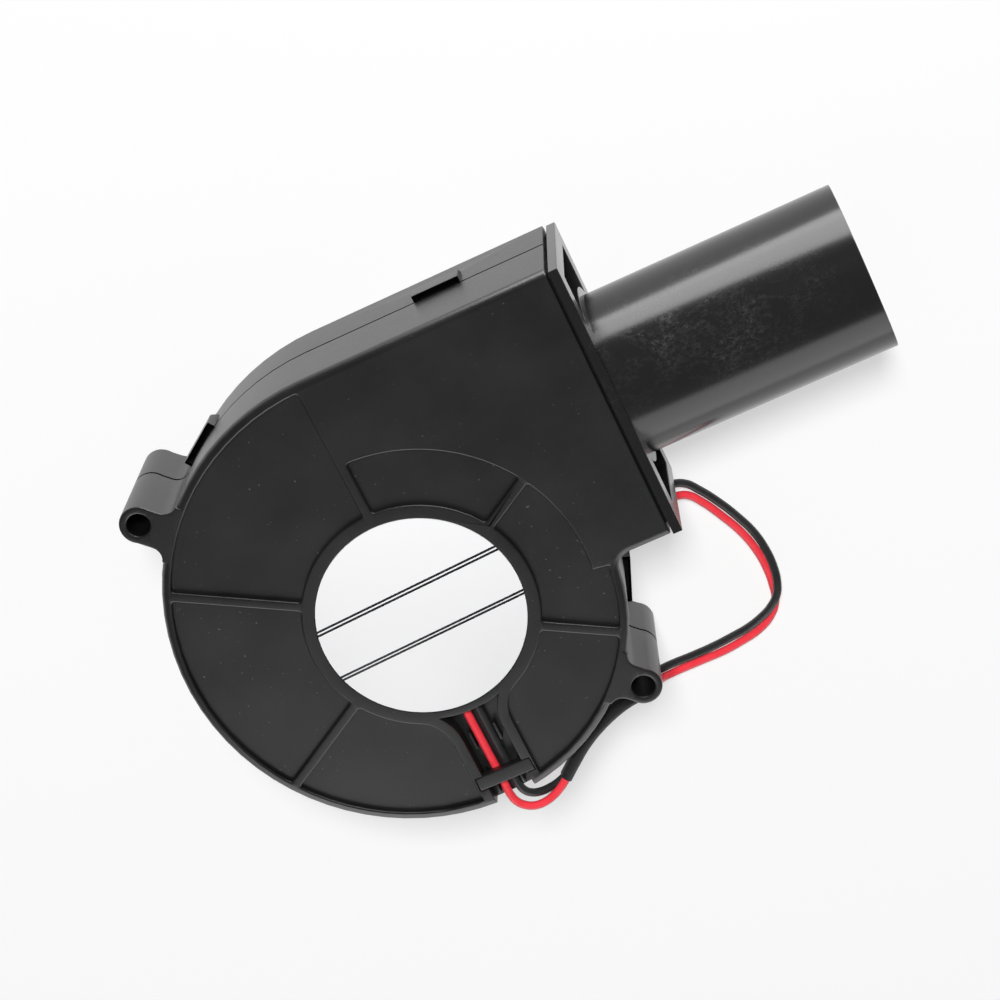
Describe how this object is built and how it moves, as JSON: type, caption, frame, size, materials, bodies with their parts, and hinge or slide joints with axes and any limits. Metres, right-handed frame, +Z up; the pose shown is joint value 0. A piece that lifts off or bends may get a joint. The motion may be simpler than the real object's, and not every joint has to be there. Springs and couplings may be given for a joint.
{
  "type": "centrifugal fan",
  "caption": "Centrifugal blower with a snap-fit scroll casing, recessed wire channel, side lugs and a flange that leads the outlet into a round tube.",
  "frame": {"origin": "on the impeller axis, in the plane of the inlet-side face on which the fan lies", "axes": "+X along the outlet tube, +Y across the outlet towards the straight top wall, +Z up along the impeller axis towards the label face"},
  "size_m": [0.15, 0.1018, 0.033],
  "materials": {
    "casing": "fine moulded grain, charcoal",
    "nozzle": "glossy black with light scuffs",
    "label": "smooth white film with black rules",
    "impeller": "moulded dark grey",
    "steel": "ground",
    "balls": "polished",
    "magnet": "sintered ferrite",
    "brass": "turned",
    "core": "stacked laminations",
    "insulator": "moulded ivory",
    "copper": "enamelled wire",
    "board": "green solder mask",
    "chip": "moulded black",
    "chip_parts": "fired tan",
    "red_wire": "soft insulation",
    "black_wire": "soft insulation",
    "sleeve": "shrunk sleeve",
    "plug": "moulded off-white"
  },
  "bodies": {
    "housing": {"motor_side_cover": "casing", "inlet_side_cover": "casing", "nozzle": "nozzle", "label": "label", "wire_clip": "casing", "bearing_holder": "brass", "upper_outer_race": "steel", "lower_outer_race": "steel", "stator_core": "core", "upper_insulator": "insulator", "lower_insulator": "insulator", "stator_windings": "copper", "coil_pins": "steel", "circuit_board": "board", "driver_chip": "chip", "hall_sensor": "chip", "board_parts": "chip_parts", "red_lead": "red_wire", "black_lead": "black_wire", "red_tail": "red_wire", "black_tail": "black_wire", "cable_sleeve": "sleeve", "plug_housing": "plug", "plug_contacts": "brass"},
    "rotor": {"impeller": "impeller", "rotor_yoke": "steel", "rotor_magnet": "magnet", "rotor_boss": "brass", "shaft": "steel", "retaining_clip": "steel", "spring_washer": "steel", "upper_inner_race": "steel", "lower_inner_race": "steel"},
    "upper_balls": {"upper_ball_cage": "balls"},
    "lower_balls": {"lower_ball_cage": "balls"}
  },
  "joints": [
    {"name": "impeller_spin", "type": "hinge", "parent": "housing", "child": "rotor", "pos_m": [0, 0, 0], "axis": [0, 0, 1], "continuous": true},
    {"name": "upper_ball_spin", "type": "hinge", "parent": "housing", "child": "upper_balls", "pos_m": [0, 0, 0.0275], "axis": [0, 0, 1], "continuous": true},
    {"name": "lower_ball_spin", "type": "hinge", "parent": "housing", "child": "lower_balls", "pos_m": [0, 0, 0.013], "axis": [0, 0, 1], "continuous": true}
  ],
  "couplings": [
    {"joint": "upper_ball_spin", "follows": "impeller_spin", "ratio": 0.3636},
    {"joint": "lower_ball_spin", "follows": "impeller_spin", "ratio": 0.3636}
  ]
}
